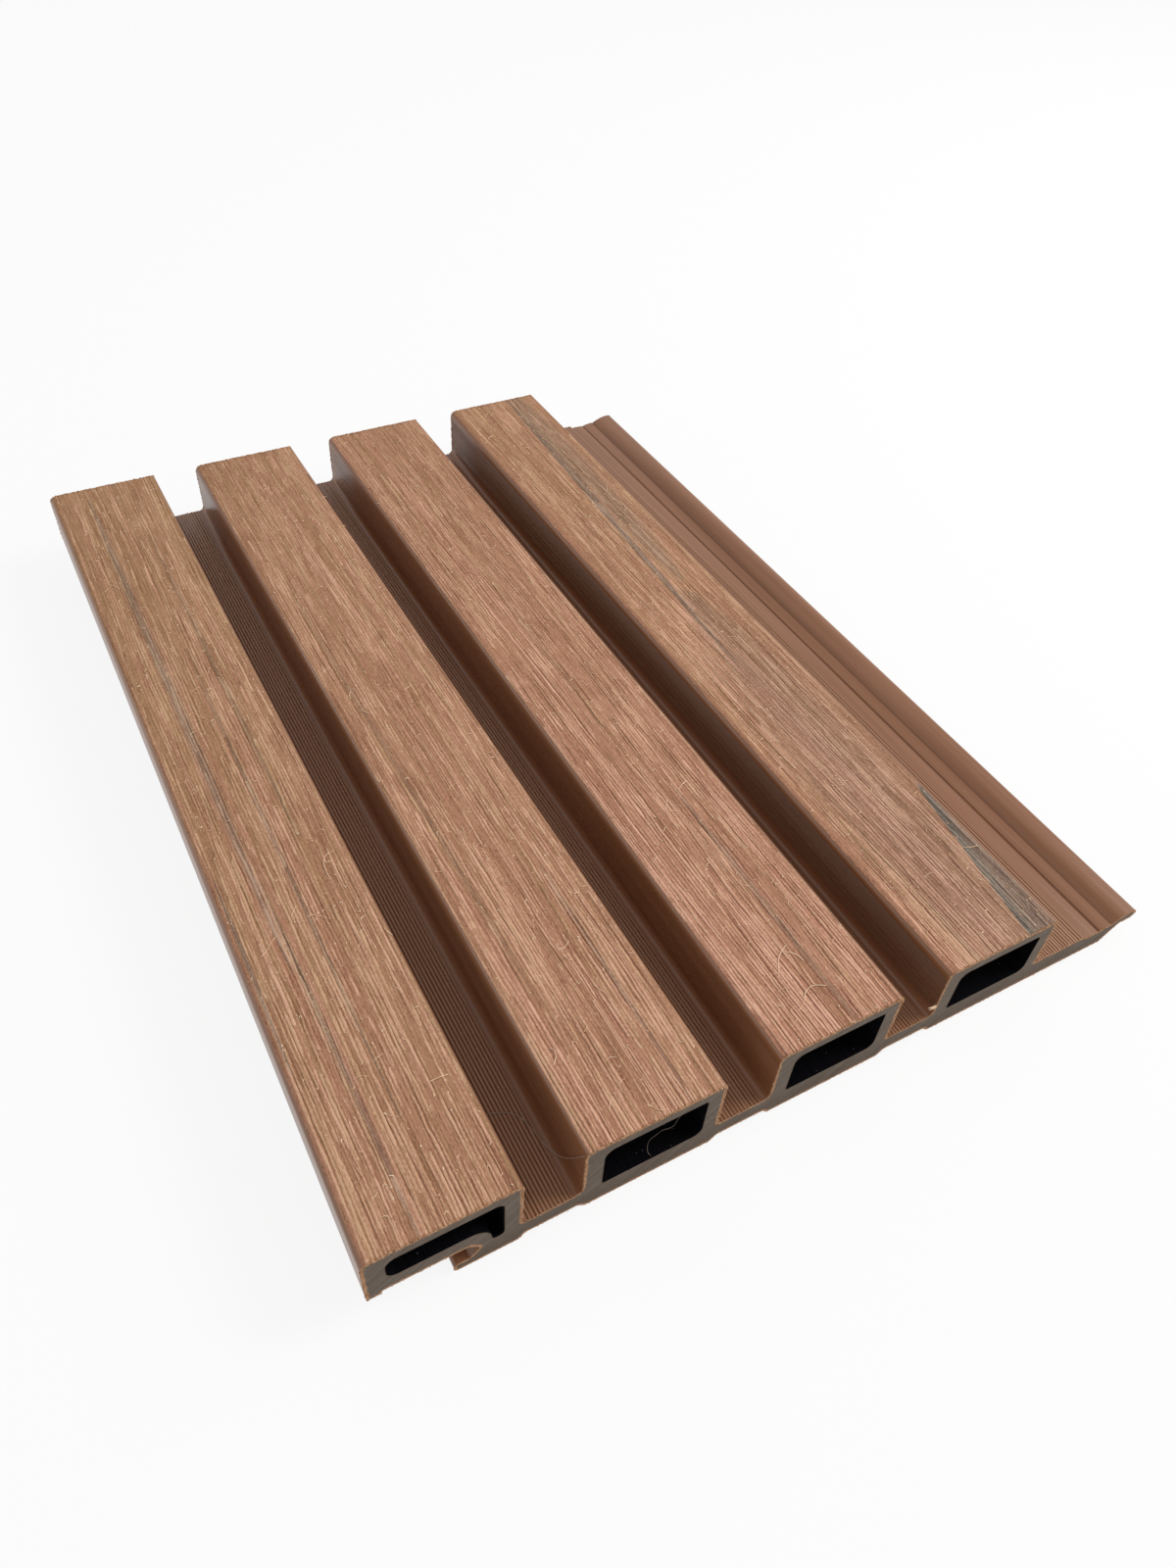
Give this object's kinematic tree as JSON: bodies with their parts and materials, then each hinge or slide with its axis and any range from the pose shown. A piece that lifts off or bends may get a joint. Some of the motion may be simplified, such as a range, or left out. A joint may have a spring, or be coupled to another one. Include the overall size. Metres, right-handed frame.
{
  "type": "composite cladding board",
  "caption": "Hollow slatted cladding board with wood-grain slats, ribbed grooves, a hooked rebate along one edge and a tongued screw flange along the other.",
  "frame": {"origin": "middle of the underside, at half the length and half the overall width", "axes": "+X across the board towards the flange, +Y along the extrusion, +Z out of the finished slatted face"},
  "size_m": [0.219, 0.288, 0.025],
  "materials": {
    "capped_composite": "embossed brushed wood grain, satin, saw-cut grey-brown at the ends"
  },
  "bodies": {
    "root": {"cladding_board": "capped_composite"}
  },
  "joints": []
}
